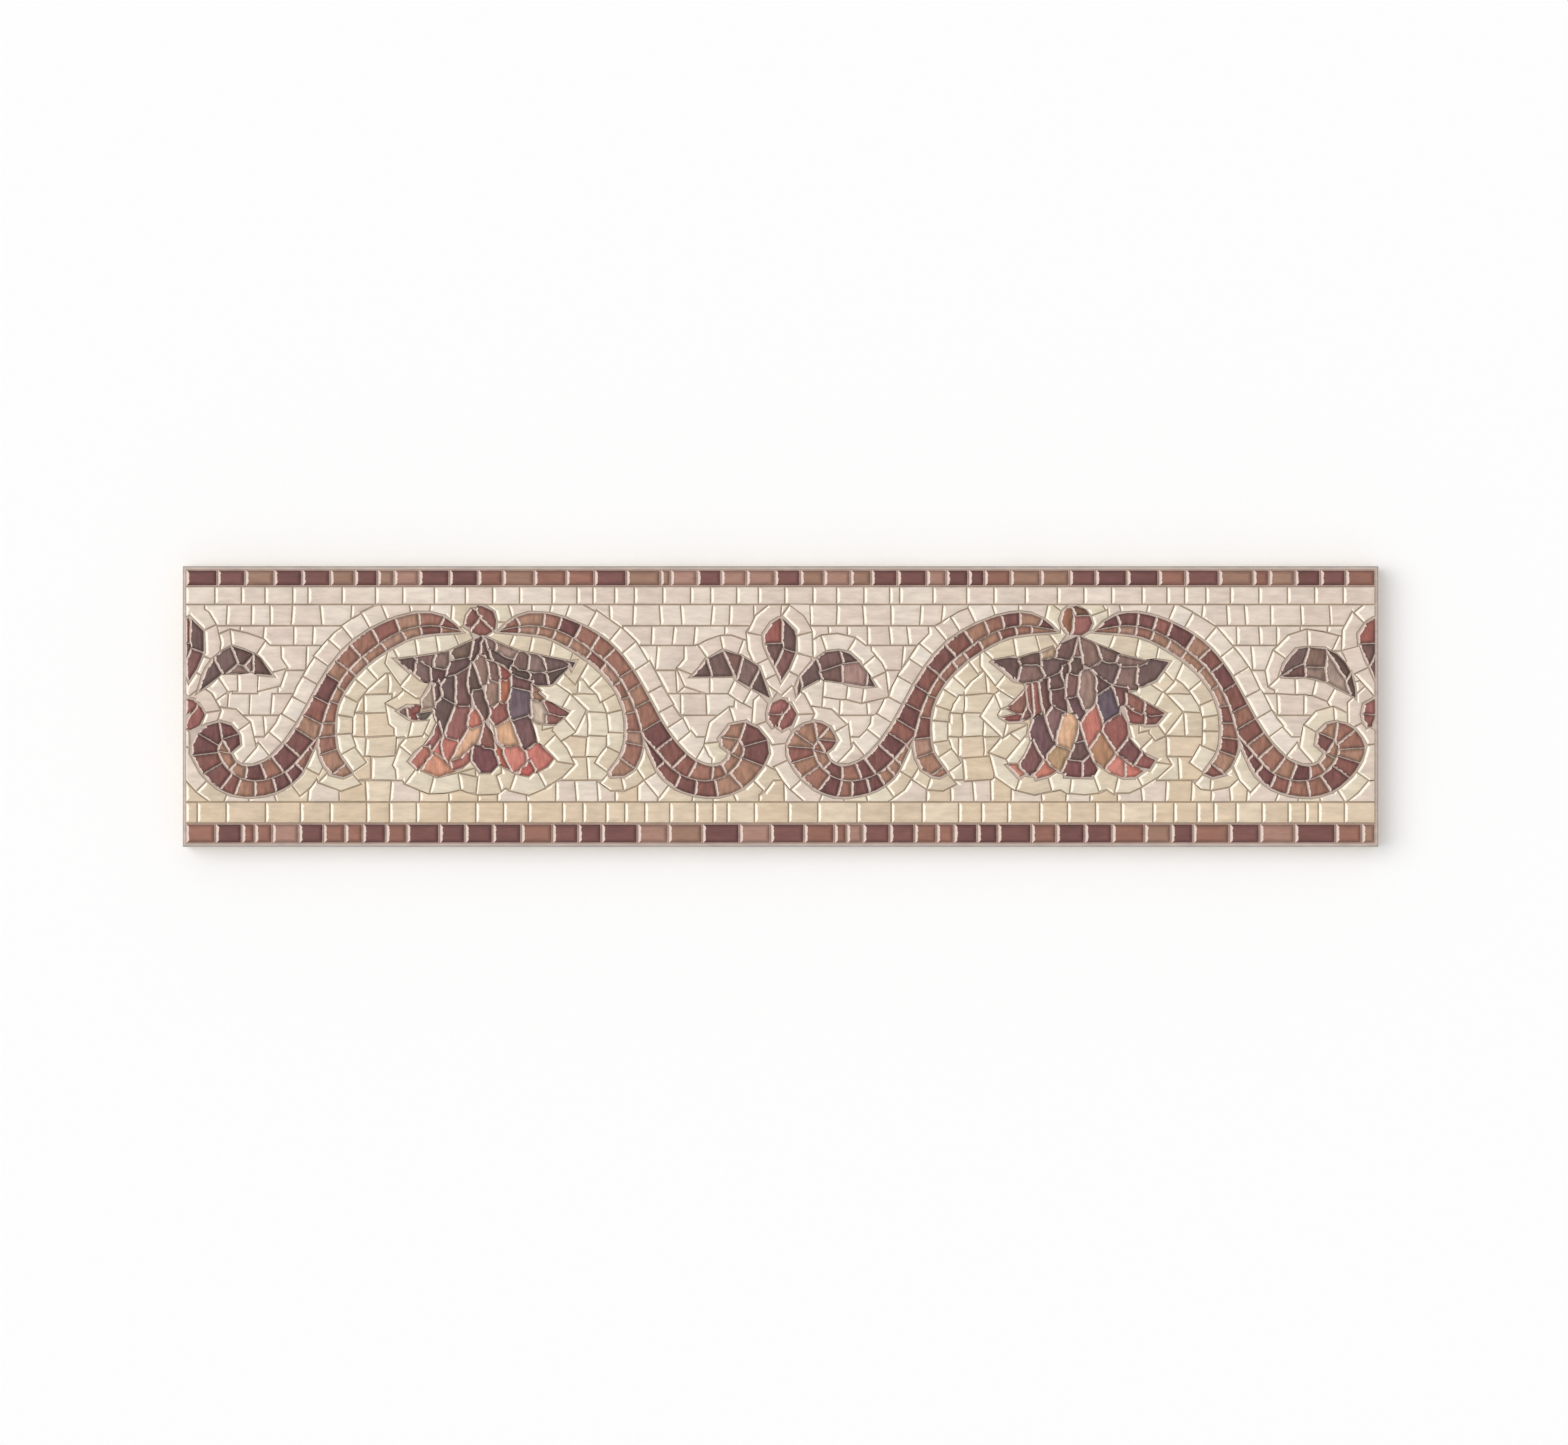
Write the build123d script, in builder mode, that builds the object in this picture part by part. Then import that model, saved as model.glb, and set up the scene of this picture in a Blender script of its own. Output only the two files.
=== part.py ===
"""Ceramic border tile, pressed and fired in one piece, with a mosaic scroll on its face.

The tile lies flat on its back with the decorated face up.  X runs along the border, Y across it and Z out
of the face.  The origin is the middle of the back.  All sizes are in millimetres.
"""

import os
import random

from build123d import *

# Pressed body
tile_length = 298.0
tile_width = 70.0
tile_thickness = 8.0
edge_roll = 0.6
back_arris = 0.5

# Keys pressed into the back, which hold the adhesive
key_count = 4
key_pitch = 14.0
key_width = 8.0
key_end_margin = 9.0
key_depth = 0.8

# Mosaic face: joints pressed between the tesserae, and a plain strip around them
margin = 0.8
joint_width = 0.6
joint_depth = 0.5
repeat_count = 2
pattern_shift = -0.5

# Straight courses along both long edges
top_brown_course = 4.3
top_cream_course = 4.5
bottom_brown_course = 4.8
bottom_cream_course = 5.1
shortest_course_tessera = 4.0
longest_course_tessera = 8.2

# Scroll of one half repeat, from the flower's axis at 0 towards the bud's axis
bud_axis = 74.1
scroll_tessera = 5.0
scroll_tip = (4.3, 18.5)
fork = (40.3, -7.5)
foot_tip = (32.0, -16.6)

# The row that runs the whole length and ends inside the volute
upper_edge = [
    scroll_tip, (8.5, 22.0), (13.0, 23.3), (18.0, 22.8), (23.0, 21.2), (28.0, 18.7), (32.5, 15.5), (36.5, 11.0),
    (40.0, 5.6), (43.0, 0.0), (46.0, -5.3), (49.5, -10.0), (53.5, -13.6), (58.0, -15.0), (61.0, -13.8), (62.3, -11.5),
]
# The joint under that row, first against the stem's lower row and past the fork against the volute's outer row
stem_joint = [
    (6.5, 19.4), (12.0, 20.0), (18.0, 19.2), (23.0, 17.0), (27.0, 14.2), (31.0, 11.0), (34.0, 7.6), (36.5, 3.4),
    (38.4, -1.0), (39.5, -5.0), fork,
]
volute_joint = [
    fork, (43.0, -10.5), (45.5, -13.5), (48.5, -16.3), (52.0, -18.0), (56.0, -18.7), (60.0, -17.9), (63.0, -15.8),
    (65.0, -13.0), (65.6, -10.2), (64.3, -8.3),
]
lower_edge = [
    scroll_tip, (10.0, 18.3), (16.0, 17.5), (20.5, 15.6), (25.0, 12.9), (29.0, 9.8), (32.5, 6.0), (34.9, 2.0),
    (36.1, -2.0), (36.3, -7.0), (35.5, -11.5), (33.0, -15.2), foot_tip,
]
tendril_edge = [fork, (40.4, -10.0), (39.6, -13.0), (37.5, -16.5), (33.5, -17.6), foot_tip]
volute_edge = [
    fork, (42.5, -12.5), (44.5, -16.5), (47.5, -19.5), (51.5, -21.5), (56.0, -22.4), (60.0, -22.3), (64.0, -21.0),
    (67.5, -18.5), (70.3, -15.0), (72.0, -11.0), (71.0, -7.5), (68.5, -5.0), (65.0, -3.9), (61.8, -4.9), (60.0, -7.3),
    (59.9, -9.5), (62.3, -11.5),
]

# Leaf beside the bud
leaf_outer_tip = (51.8, 7.3)
leaf_crest = (60.5, 14.0)
leaf_inner_tip = (70.0, 2.8)
leaf_underside = (63.0, 7.4)
leaf_veins = [0.2, 0.4, 0.6, 0.8]

# Bud on its axis, with a small ball under it
bud_top = 22.0
bud_tip = 6.7
bud_half_width = 3.9
bud_widest = 16.5
bud_cross_joint = 15.0
bud_ball_level = -2.0
bud_ball_radius = 3.6

# Flower on its axis: ball, wing leaf, petals, curl and drop of one half
flower_ball_level = 21.3
flower_ball_radius = 3.7
wing_upper = [(0.0, 17.2), (4.5, 15.2), (10.0, 13.2), (16.0, 11.7), (22.0, 11.0)]
wing_lower = [(22.0, 11.0), (18.5, 7.0), (13.0, 6.1), (8.0, 7.8), (4.5, 10.6), (0.0, 12.5)]
wing_veins = [0.25, 0.5, 0.72]
petal_joints = [
    [(1.6, 11.9), (1.9, 6.0), (1.5, 0.0), (0.0, -3.0)],
    [(4.5, 10.6), (4.7, 5.0), (4.5, 0.0), (2.3, -5.5), (0.0, -9.5)],
    [(8.0, 7.8), (7.0, 3.0), (6.6, -3.0), (4.3, -8.0), (2.5, -10.5)],
    [(13.0, 6.1), (12.2, 2.0), (12.4, -3.0), (13.6, -9.0), (18.3, -14.2)],
    [(18.3, -14.2), (14.0, -16.5), (9.0, -17.0), (4.4, -14.4)],
]
petal_cross_joints = [
    [(1.7, 7.5), (4.6, 6.5)],
    [(1.4, 0.0), (4.5, 0.2)],
    [(4.7, 5.5), (7.2, 6.0)],
    [(4.4, -0.5), (6.8, 0.5)],
    [(7.3, 4.5), (12.3, 4.0)],
    [(6.7, -3.0), (12.4, -3.3)],
    [(4.3, -8.0), (8.5, -9.8), (13.8, -9.5)],
    [(8.5, -9.8), (10.5, -16.8)],
]
drop_outline = [(0.0, -9.5), (2.5, -10.5), (4.4, -14.4), (2.4, -17.5), (0.0, -17.5)]
curl_outline = [(12.3, 3.2), (17.0, 2.2), (21.8, -0.4), (21.6, -4.3), (16.5, -4.2), (12.4, -2.6)]
curl_vein = [(17.0, 2.2), (16.5, -4.2)]

os.makedirs("parts", exist_ok=True)
panel_length = tile_length - 2 * margin
panel_width = tile_width - 2 * margin
panel_top = panel_width / 2
repeat = panel_length / repeat_count
bed_level = tile_thickness - joint_depth


def cross_joints(along, across):
    """Draw the joints that part a row into tesserae, from one of its edges to the nearest point of the other."""
    count = round(along.length / scroll_tessera)
    starts = [along @ (step / count) for step in range(1, count)]
    ends = [across.distance_to_with_closest_points(start)[1] for start in starts]
    return [Line(start, end) for start, end in zip(starts, ends) if 2 * joint_width < (end - start).length]


def strips(lines):
    """Widen each line to a strip as wide as a joint."""
    return [trace(line, joint_width, mode=Mode.PRIVATE).face() for line in lines]


# Joints of the straight courses: the long ones run past both ends, the cross joints are spaced unevenly
course_rng = random.Random(7)
top_levels = [tile_width / 2, panel_top - top_brown_course, panel_top - top_brown_course - top_cream_course]
bottom_levels = [-tile_width / 2, bottom_brown_course - panel_top, bottom_brown_course + bottom_cream_course - panel_top]
with BuildSketch() as course_joints:
    for edge_level, middle_level, inner_level in (top_levels, bottom_levels):
        with Locations((0, middle_level), (0, inner_level)):
            Rectangle(tile_length, joint_width)
        for start_level, end_level in ((edge_level, middle_level), (middle_level, inner_level)):
            cross_spots = []
            x = course_rng.uniform(shortest_course_tessera, longest_course_tessera) - panel_length / 2
            while x < panel_length / 2 - shortest_course_tessera / 2:
                cross_spots.append((x, (start_level + end_level) / 2))
                x += course_rng.uniform(shortest_course_tessera, longest_course_tessera)
            with Locations(*cross_spots):
                Rectangle(joint_width, abs(start_level - end_level))

# Joints of the scroll: the stem of two rows forks into a tendril with a foot and a volute of two rows
with BuildLine():
    upper = Polyline(*upper_edge)
    stem = Polyline(*stem_joint)
    volute = Polyline(*volute_joint)
    lower = Polyline(*lower_edge)
    tendril = Polyline(*tendril_edge)
    volute_outer = Polyline(*volute_edge)
    scroll_lines = [upper, stem, volute, lower, tendril, volute_outer]
    scroll_lines += cross_joints(stem, upper)
    scroll_lines += cross_joints(volute, upper)
    scroll_lines += cross_joints(stem, lower)
    scroll_lines += cross_joints(tendril, lower)
    scroll_lines += cross_joints(volute_outer, volute)
with BuildSketch() as scroll_joints:
    add(strips(scroll_lines))

# Joints of the leaf, the half bud and its ball
with BuildLine():
    leaf_top = ThreePointArc(leaf_outer_tip, leaf_crest, leaf_inner_tip)
    leaf_bottom = ThreePointArc(leaf_outer_tip, leaf_underside, leaf_inner_tip)
    leaf_lines = [leaf_top, leaf_bottom]
    leaf_lines += [Line(leaf_top @ vein, leaf_bottom @ vein) for vein in leaf_veins]
    bud_side = (bud_axis - bud_half_width, bud_widest)
    leaf_lines.append(ThreePointArc((bud_axis, bud_top), bud_side, (bud_axis, bud_tip)))
    leaf_lines.append(Line((bud_axis - bud_half_width, bud_cross_joint), (bud_axis, bud_cross_joint)))
    leaf_lines.append(CenterArc((bud_axis, bud_ball_level), bud_ball_radius, 90, 180))
    leaf_lines.append(Line((bud_axis - bud_ball_radius, bud_ball_level), (bud_axis, bud_ball_level)))
with BuildSketch() as leaf_joints:
    add(strips(leaf_lines))

# Joints of the half flower
with BuildLine():
    wing_top = Polyline(*wing_upper)
    wing_bottom = Polyline(*wing_lower)
    flower_lines = [wing_top, wing_bottom]
    flower_lines += [Line(wing_top @ vein, wing_bottom @ (1 - vein)) for vein in wing_veins]
    flower_lines.append(CenterArc((0, flower_ball_level), flower_ball_radius, -90, 180))
    flower_lines.append(Line((0, flower_ball_level), (flower_ball_radius, flower_ball_level)))
    flower_lines += [Polyline(*joint) for joint in petal_joints]
    flower_lines += [Polyline(*joint) for joint in petal_cross_joints]
    flower_lines += [Polyline(*drop_outline), Polyline(*curl_outline), Line(*curl_vein)]
with BuildSketch() as flower_joints:
    add(strips(flower_lines))

with BuildPart() as border_tile:
    # Body up to the bed of the joints, with its face edges rolled and its back edges broken
    with BuildSketch():
        Rectangle(tile_length, tile_width)
    extrude(amount=bed_level)
    fillet(border_tile.faces().sort_by(Axis.Z)[-1].edges(), edge_roll)
    chamfer(border_tile.faces().sort_by(Axis.Z)[0].edges(), back_arris)

    # Keys in the back
    with BuildSketch():
        with GridLocations(0, key_pitch, 1, key_count):
            SlotOverall(tile_length - 2 * key_end_margin, key_width)
    extrude(amount=key_depth, mode=Mode.SUBTRACT)

    # Face of the tesserae, raised over the bed
    with BuildSketch(Plane.XY.offset(bed_level)):
        Rectangle(panel_length, panel_width)
    extrude(amount=joint_depth)

    # Joints of the courses, pressed down to the bed
    with BuildSketch(Plane.XY.offset(tile_thickness)):
        add(course_joints.sketch)
    extrude(amount=-joint_depth, clean=False, mode=Mode.SUBTRACT)

    # Joints of the motifs: each flower stands between two half repeats, one the mirror of the other
    for motif in (scroll_joints.sketch, leaf_joints.sketch, flower_joints.sketch):
        with BuildSketch(Plane.XY.offset(tile_thickness)):
            with GridLocations(repeat, 0, repeat_count, 1):
                with Locations((pattern_shift, 0)):
                    add(motif)
                    add(mirror(motif, Plane.YZ, mode=Mode.PRIVATE))
        extrude(amount=-joint_depth, clean=False, mode=Mode.SUBTRACT)

border_tile.part.label = "border_tile"
export_step(border_tile.part, "parts/border_tile.step")
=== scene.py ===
"""Border tile of pressed and glazed clay, with a mosaic scroll on its face, lying on a pale floor."""
import math
import random

import bmesh
import bpy
import numpy as np
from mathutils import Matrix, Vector
from mathutils.geometry import convex_hull_2d, delaunay_2d_cdt


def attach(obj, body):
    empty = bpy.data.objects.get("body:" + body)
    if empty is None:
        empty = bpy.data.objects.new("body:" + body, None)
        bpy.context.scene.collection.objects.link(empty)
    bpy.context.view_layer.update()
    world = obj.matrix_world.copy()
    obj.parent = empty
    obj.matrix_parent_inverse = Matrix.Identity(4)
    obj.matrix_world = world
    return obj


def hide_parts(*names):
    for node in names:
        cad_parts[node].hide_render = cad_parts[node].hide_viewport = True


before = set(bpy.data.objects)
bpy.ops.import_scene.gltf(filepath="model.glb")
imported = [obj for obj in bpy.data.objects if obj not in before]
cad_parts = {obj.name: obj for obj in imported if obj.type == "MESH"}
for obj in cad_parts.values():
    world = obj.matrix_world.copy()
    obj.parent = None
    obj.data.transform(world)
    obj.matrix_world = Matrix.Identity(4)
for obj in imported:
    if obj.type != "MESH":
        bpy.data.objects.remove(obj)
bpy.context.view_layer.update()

# Courses: one row of brown and one of cream tesserae along each long edge, glazed clay pressed with the face.
# The brown ones stand apart in a light bed, and the cream ones nearly touch.
# Sizes are in millimetres, and an outline of a higher rank lies over those of a lower one.
rng = random.Random(11)
half_length, half_width = 148.2, 34.2
upper_joint, upper_field_edge = 29.9, 25.4
lower_joint, lower_field_edge = -29.1, -23.8
bed_rank, cream_course_rank, brown_rank = 0, 3, 5
tesserae, laid = [], []


def lay(rank, kind, outline, glaze):
    """Note a tessera's kind and glaze, and lay its outline."""
    tesserae.append((kind, glaze))
    laid.append((rank, len(tesserae) - 1, outline, None))


def upright(left, right, low, high):
    return [(left, low), (right, low), (right, high), (left, high)]


brown_glazes = ["744B46", "916656", "7E5249", "9C7460", "6E4643", "88594F", "A07A66", "95695A"]
cream_glazes = ["DFCDBF", "E1D1C2", "DBC9BA", "E4D5C7", "DCCBBD"]
lower_cream_glazes = ["DDC8AE", "DAC4A8", "E2CFB6", "D7C2A8"]
bed_glaze = "CDB8AC"

# Cross joints of the courses, and the tone of each brown tessera: dark, middle, tan or pale
upper_brown_marks = [-148.2, -140.3, -133.4, -126.2, -119.2, -112.2, -106.1, -100.4, -96.3, -90.1, -82.5,
                     -75.4, -69.2, -61.4, -53.4, -46.4, -38.4, -29.9, -27.4, -20.8, -14.8, -8.5, -1.4, 4.9,
                     10.8, 17.4, 22.6, 29.1, 36.4, 41.3, 46.8, 50.8, 57.3, 64.8, 72.0, 78.5, 86.3, 94.2,
                     100.9, 109.2, 117.7, 121.7, 128.2, 134.5, 140.8, 148.2]
lower_brown_marks = [-148.2, -140.8, -134.2, -131.0, -126.6, -120.0, -113.9, -108.5, -104.1, -98.3, -93.1,
                     -85.0, -78.6, -71.7, -64.6, -56.8, -50.4, -44.6, -35.6, -28.0, -19.5, -10.2, -2.5, 5.9,
                     13.4, 16.5, 20.5, 27.2, 33.4, 38.9, 43.2, 49.0, 54.1, 62.5, 68.7, 75.8, 82.6, 90.7,
                     97.3, 102.8, 111.8, 119.4, 128.1, 138.3, 144.8, 148.2]
upper_cream_marks = [-148.2, -140.9, -134.3, -128.4, -121.5, -117.7, -109.2, -100.9, -94.1, -86.2, -78.5,
                     -71.7, -65.0, -56.9, -50.7, -46.7, -41.3, -36.4, -29.3, -22.4, -17.4, -10.9, -5.5, 1.1,
                     8.1, 14.0, 20.8, 27.2, 29.7, 38.0, 46.4, 53.2, 61.0, 69.0, 75.6, 82.5, 90.1, 96.3,
                     100.7, 106.0, 112.1, 119.2, 126.3, 133.1, 140.2, 148.2]
lower_cream_marks = [-148.2, -145.3, -138.1, -128.3, -119.6, -112.2, -103.1, -97.4, -90.7, -83.0, -75.9,
                     -69.0, -62.8, -54.3, -49.2, -43.5, -38.8, -33.8, -27.6, -21.2, -16.8, -13.3, -6.5, 2.0,
                     9.3, 19.1, 27.6, 35.3, 44.4, 50.1, 56.6, 64.6, 71.5, 78.5, 84.9, 92.8, 98.0, 103.8,
                     108.0, 113.5, 120.0, 126.5, 130.8, 134.0, 140.5, 148.2]
upper_tones = "DDTDDTDTPDDMTMMDTTPDPPDTPTDDPDDMTTDDDMDTMTDDM"
lower_tones = "MDMMPDMMDMDDDDMDDDPTDPDMMPDDMMDDDMDDMTDMDPDMT"
course_glazes = {"D": ["744C47", "6F4844", "7A514C"], "M": ["916657", "8C6153", "96695A"],
                 "T": ["967361", "9A7866"], "P": ["A27C6D", "A68072"]}
brown_courses = [(upper_joint, half_width, upper_brown_marks, upper_tones),
                 (-half_width, lower_joint, lower_brown_marks, lower_tones)]
cream_courses = [(upper_field_edge, upper_joint, upper_cream_marks, cream_glazes),
                 (lower_joint, lower_field_edge, lower_cream_marks, lower_cream_glazes)]
lay(bed_rank, "bed", upright(-half_length, half_length, -half_width, half_width), bed_glaze)
for low, high, marks, tones in brown_courses:
    for left, right, tone in zip(marks, marks[1:], tones):
        lay(brown_rank, "course", upright(left, right, low, high), rng.choice(course_glazes[tone]))
for low, high, marks, glazes in cream_courses:
    for left, right in zip(marks, marks[1:]):
        lay(cream_course_rank, "cream", upright(left, right, low, high), rng.choice(glazes))

# Field: rows of cream tesserae that fill the face between the courses, glazed clay pressed with the face.
# They are pinker above and outside the scroll and yellower under its arches, and most lean a little.
field_rank = 1
field_levels = [upper_field_edge, 20.1, 15.2, 9.0, 3.2, -2.2, -7.6, -12.8, -18.4, lower_field_edge]
yellow_below = -8
most_lean = 0.3
flower_axes = [-74.8, 73.5]
bud_axes = [-147.9, -0.4, 147.8]
arch_levels = [13.0, 8.2, 3.0, -1.6, -7.5, -12.6, -18.4]
arch_half_width = 34.5
arch_glazes = ["DFD1BA", "DAC9B0", "E1D4BF", "D6C4AC"]


def spans(start, end, shortest, longest):
    """Uneven spans from start to end.  The last one takes up what is left."""
    marks = [start]
    while end - marks[-1] > 1.6 * shortest:
        marks.append(marks[-1] + rng.uniform(shortest, longest))
    marks[-1] = end
    return list(zip(marks, marks[1:]))


for high, low in zip(field_levels, field_levels[1:]):
    row = spans(-half_length, half_length, 4.2, 7.6)
    leans = [0.0] + [rng.uniform(-most_lean, most_lean) for span in row[1:]] + [0.0]
    glazes = cream_glazes if low > yellow_below else cream_glazes + lower_cream_glazes
    for (left, right), lean, next_lean in zip(row, leans, leans[1:]):
        outline = [(left - lean, low), (right - next_lean, low),
                   (right + next_lean, high), (left + lean, high)]
        lay(field_rank, "cream", outline, rng.choice(glazes))
for axis in flower_axes:
    for high, low in zip(arch_levels, arch_levels[1:]):
        for left, right in spans(axis - arch_half_width, axis + arch_half_width, 4.4, 7.6):
            lean, turn = rng.uniform(-most_lean, most_lean), rng.uniform(-most_lean, most_lean)
            outline = [(left - lean, low - turn), (right - lean, low + turn),
                       (right + lean, high + turn), (left + lean, high - turn)]
            lay(field_rank, "cream", outline, rng.choice(arch_glazes + lower_cream_glazes[:2]))

# Scroll: rows of brown tesserae side by side, glazed clay, from a tip beside each flower down to a fork.
# There one row ends as a tendril with a foot, and two curl up into a volute.
# A row of cream tesserae follows the scroll on both sides.
halo_rank, piece_bed_rank = 2, 2.5
tip, fork, foot, volute_end = (4.3, 18.5), (40.3, -7.5), (32.0, -16.6), (62.3, -11.5)
upper_edge = [tip, (8.5, 22.0), (13.0, 23.3), (18.0, 22.8), (23.0, 21.2), (28.0, 18.7), (32.5, 15.5),
              (36.5, 11.0), (40.0, 5.6), (43.0, 0.0), (46.0, -5.3), (49.5, -10.0), (53.5, -13.6),
              (58.0, -15.0), (61.0, -13.8), volute_end]
stem_joint = [(5.2, 18.9), (12.0, 20.0), (18.0, 19.2), (23.0, 17.0), (27.0, 14.2), (31.0, 11.0),
              (34.0, 7.6), (36.5, 3.4), (38.4, -1.0), (39.5, -5.0), fork]
volute_joint = [fork, (43.0, -10.5), (45.5, -13.5), (48.5, -16.3), (52.0, -18.0), (56.0, -18.7),
                (60.0, -17.9), (63.0, -15.8), (65.0, -13.0), (65.6, -10.2), (64.3, -8.3)]
lower_edge = [tip, (10.0, 18.3), (16.0, 17.5), (20.5, 15.6), (25.0, 12.9), (29.0, 9.8), (32.5, 6.0),
              (34.9, 2.0), (36.1, -2.0), (36.3, -7.0), (35.5, -11.5), (33.0, -15.2), foot]
tendril_edge = [fork, (40.4, -10.0), (39.6, -13.0), (37.5, -16.5), (33.5, -17.6), foot]
volute_edge = [fork, (42.5, -12.5), (44.5, -16.5), (47.5, -19.5), (51.5, -21.5), (56.0, -22.4),
               (60.0, -22.3), (64.0, -21.0), (67.5, -18.5), (70.3, -15.0), (72.0, -11.0), (71.0, -7.5),
               (68.5, -5.0), (65.0, -3.9), (61.8, -4.9), (60.0, -7.3), (59.9, -9.5), volute_end]
pale_brown_glazes = ["916656", "9C7460", "A07A66", "95695A", "A37E6D", "7E5249"]
brightest_cream_glaze = "E6D9CC"
piece_bed_glaze = "D2BEB2"
point_gap = 0.4
shortest_side = 0.3


def smooth(points):
    """Points along a smooth curve through the given ones."""
    knots = [Vector(p) for p in points]
    knots = [2 * knots[0] - knots[1]] + knots + [2 * knots[-1] - knots[-2]]
    curve = [knots[1]]
    for before, start, end, after in zip(knots, knots[1:], knots[2:], knots[3:]):
        count = max(2, round((end - start).length / point_gap))
        bend = 2 * before - 5 * start + 4 * end - after
        twist = 3 * start - before - 3 * end + after
        for step in range(1, count + 1):
            t = step / count
            curve.append(0.5 * (2 * start + (end - before) * t + bend * t ** 2 + twist * t ** 3))
    return curve


def marks_along(curve, length):
    """Places in the curve where a row of tesserae about that long is parted."""
    marks = [0]
    while len(curve) - 1 - marks[-1] > 1.5 * length / point_gap:
        marks.append(marks[-1] + round(rng.uniform(0.75, 1.25) * length / point_gap))
    return marks + [len(curve) - 1]


def sides(outline):
    return list(zip(outline, outline[1:] + outline[:1]))


def with_neighbours(outline):
    """Each point between the one before it and the one after it."""
    return list(zip(outline[-1:] + outline[:-1], outline, outline[1:] + outline[:1]))


def area_of(outline):
    """The area, which is negative where the outline runs to the right."""
    return sum(a.cross(b) for a, b in sides(outline)) / 2


def grown(outline, amount):
    """The outline moved outwards."""
    points = [Vector(p) for p in outline]
    turn = 1 if area_of(points) > 0 else -1
    moved = []
    for before, here, after in with_neighbours(points):
        first, second = (here - before).normalized(), (after - here).normalized()
        first, second = Vector((first.y, -first.x)) * turn, Vector((second.y, -second.x)) * turn
        moved.append(here + (first + second) * amount / max(0.35, 1 + first.dot(second)))
    return moved


def place(outline, axis, side):
    return [(axis + side * x, y) for x, y in outline]


def lay_piece(outline, glaze, within=None):
    """A tessera that stands apart in the light bed, and grows up to its neighbours within an outline."""
    lay(piece_bed_rank, "bed", grown(outline, 0.6 if within else 0.45), piece_bed_glaze)
    lay(brown_rank, "brown", grown(outline, 0.25 if within else 0.15), glaze)
    for growth in (0.45, 0.65, 0.85, 1.05) if within else ():
        laid.append((brown_rank - growth, len(tesserae) - 1, grown(outline, growth), within))


def lay_halo(curve, width, length, axis, side, glazes):
    """A row of cream tesserae about that wide and long, along the left of a curve."""
    marks = marks_along(curve, length)
    normals = []
    for mark in marks:
        run = (curve[min(mark + 4, len(curve) - 1)] - curve[max(mark - 4, 0)]).normalized()
        normals.append(Vector((-run.y, run.x)))
    for i, j, out, next_out in zip(marks, marks[1:], normals, normals[1:]):
        middle = (i + j) // 2
        reach, next_reach = width * rng.uniform(0.92, 1.08), width * rng.uniform(0.92, 1.08)
        outline = [curve[i], curve[middle], curve[j], curve[j] + next_out * next_reach,
                   curve[middle] + (out + next_out).normalized() * width, curve[i] + out * reach]
        lay(halo_rank, "cream", place(outline, axis, side), rng.choice(glazes))


def lay_row(near, far, length, axis, side, glazes):
    """A row of brown tesserae about that long, between two edges."""
    marks = marks_along(near, length)
    partners = [0]
    for mark in marks[1:-1]:
        rest = range(partners[-1], min(partners[-1] + 40, len(far)))
        partners.append(min(rest, key=lambda k: (far[k] - near[mark]).length))
    partners.append(len(far) - 1)
    for i, j, k, m in zip(marks, marks[1:], partners, partners[1:]):
        outline = [near[i], near[(i + j) // 2], near[j], far[m], far[(k + m) // 2], far[k]]
        outline = [p for p, q in sides(outline) if (p - q).length > shortest_side]
        lay_piece(place(outline, axis, side), rng.choice(glazes))


upper, lower, stem = smooth(upper_edge), smooth(lower_edge), smooth(stem_joint)
tendril, volute, outer = smooth(tendril_edge), smooth(volute_joint), smooth(volute_edge)
arms = [(axis, side) for axis in flower_axes for side in (-1, 1)]
volute_lengths = [5.0, 7.0, 4.4, 5.2]
arm_glazes = [brown_glazes, brown_glazes + 2 * pale_brown_glazes, brown_glazes, brown_glazes]
for (axis, side), volute_length, glazes in zip(arms, volute_lengths, arm_glazes):
    lay_halo(upper, 4.8, 5.4, axis, side, cream_glazes + [brightest_cream_glaze])
    lay_halo(lower[::-1], 4.6, 5.4, axis, side, arch_glazes)
    lay_halo(tendril, 3.6, 4.6, axis, side, arch_glazes)
    lay_halo(outer[::-1], 4.2, 5.4, axis, side, cream_glazes + arch_glazes)
    lay_row(stem + volute[1:], upper, 5.0, axis, side, glazes)
    lay_row(stem + tendril[1:], lower, 4.8, axis, side, pale_brown_glazes)
    lay_row(outer, volute, volute_length, axis, side, brown_glazes)

# Leaves and buds: a bud of glazed clay with a ball under it, and a leaf on each side, between the volutes.
# They are pressed as dark tesserae with a few red ones, and at the tile's ends they are cut through.
bud_pieces = [
    ("90584F", [(-0.2, 21.6), (0.3, 21.0), (0.2, 16.2), (-3.4, 15.8), (-3.6, 18.0), (-1.8, 20.6)]),
    ("674E4A", [(1.3, 21.4), (3.8, 18.8), (4.0, 14.1), (2.2, 14.5), (1.2, 15.5)]),
    ("6C504A", [(-2.8, 15.2), (0.3, 15.3), (-0.6, 12.0), (-1.4, 10.7), (-1.9, 11.6)]),
    ("7A5450", [(1.4, 13.6), (3.7, 12.9), (2.4, 9.6), (0.6, 6.9), (-0.6, 9.9)]),
]
ball_pieces = [
    ("96605A", [(-2.2, 0.4), (0.0, 1.6), (1.6, 1.4), (1.6, -0.4), (-0.2, -1.8), (-2.6, -1.4)]),
    ("84554E", [(-2.4, -2.4), (-0.2, -2.4), (-0.6, -4.2), (-1.6, -4.8), (-2.6, -3.4)]),
    ("8C5852", [(3.2, -0.2), (4.2, -1.8), (3.0, -4.6), (1.0, -5.6), (0.3, -4.2), (1.6, -2.4)]),
]
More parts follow.
